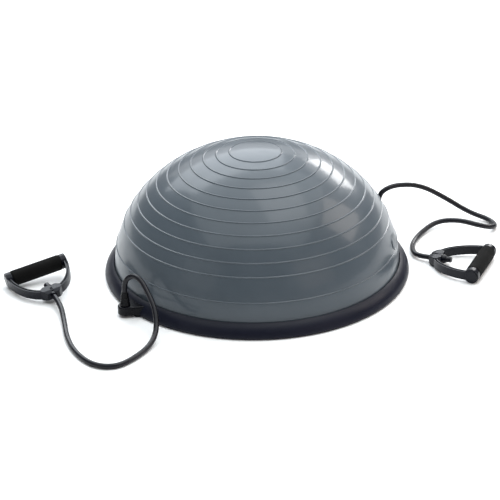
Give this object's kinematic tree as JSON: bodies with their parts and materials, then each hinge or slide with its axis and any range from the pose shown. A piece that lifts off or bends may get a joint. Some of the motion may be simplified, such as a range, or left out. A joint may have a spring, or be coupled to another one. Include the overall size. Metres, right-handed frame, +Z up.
{
  "type": "balance dome trainer",
  "caption": "Inflated ribbed half dome on a flat round platform, with an elastic tube and a foam D-handle clipped to a lug on each side.",
  "frame": {"origin": "centre of the platform's underside, on the floor", "axes": "+Z up through the dome's apex; +X to the right as seen from the front, where the right lug stands behind the dome and the left lug in front of it; +Y to the rear"},
  "size_m": [0.9564, 0.6794, 0.2475],
  "materials": {
    "dome_skin": "gloss",
    "valve": "gloss",
    "rim": "satin",
    "underside": "matte",
    "pad_rubber": "matte",
    "screw_steel": "satin",
    "lug": "satin",
    "boot_rubber": "satin",
    "stopper": "satin",
    "tube_rubber": "satin",
    "handle_plastic": "gloss",
    "crossbar": "satin",
    "sleeve": "satin",
    "foam": "matte"
  },
  "bodies": {
    "platform": {"dome": "dome_skin", "bladder_floor": "dome_skin", "valve_collar": "valve", "rim_shell": "rim", "base_plate": "underside", "centre_pad": "pad_rubber", "rubber_pads": "pad_rubber", "rim_screws": "screw_steel", "left_lug": "lug", "left_lug_screws": "screw_steel", "right_lug": "lug", "right_lug_screws": "screw_steel"},
    "valve_plug": {"valve_plug": "valve"},
    "left_band": {"left_boot": "boot_rubber", "left_tube_stopper": "stopper", "left_tube": "tube_rubber", "left_handle_bow": "handle_plastic", "left_crossbar": "crossbar", "left_inner_cap": "handle_plastic", "left_outer_cap": "handle_plastic", "left_tube_tail": "tube_rubber", "left_tail_plug": "stopper"},
    "left_grip": {"left_grip_sleeve": "sleeve", "left_foam_grip": "foam"},
    "right_band": {"right_boot": "boot_rubber", "right_tube_stopper": "stopper", "right_tube": "tube_rubber", "right_handle_bow": "handle_plastic", "right_crossbar": "crossbar", "right_inner_cap": "handle_plastic", "right_outer_cap": "handle_plastic", "right_tube_tail": "tube_rubber", "right_tail_plug": "stopper"},
    "right_grip": {"right_grip_sleeve": "sleeve", "right_foam_grip": "foam"}
  },
  "joints": [
    {"name": "valve_plug_pull", "type": "slide", "parent": "platform", "child": "valve_plug", "axis": [0.9344, -0.2054, 0.2911], "range_m": [0, 0.015]},
    {"name": "left_band_swing", "type": "hinge", "parent": "platform", "child": "left_band", "pos_m": [-0.24279, -0.18295, 0.0212], "axis": [0, 0, 1], "range_deg": [-20, 15]},
    {"name": "left_grip_spin", "type": "hinge", "parent": "left_band", "child": "left_grip", "pos_m": [-0.4184, -0.0426, 0.024], "axis": [-0.9038, -0.4012, -0.1491], "continuous": true},
    {"name": "right_band_swing", "type": "hinge", "parent": "platform", "child": "right_band", "pos_m": [0.24279, 0.18295, 0.0212], "axis": [0, 0, 1], "range_deg": [-4, 125]},
    {"name": "right_grip_spin", "type": "hinge", "parent": "right_band", "child": "right_grip", "pos_m": [0.4246, -0.0213, 0.0152], "axis": [0.3827, 0.9239, 0], "continuous": true}
  ]
}
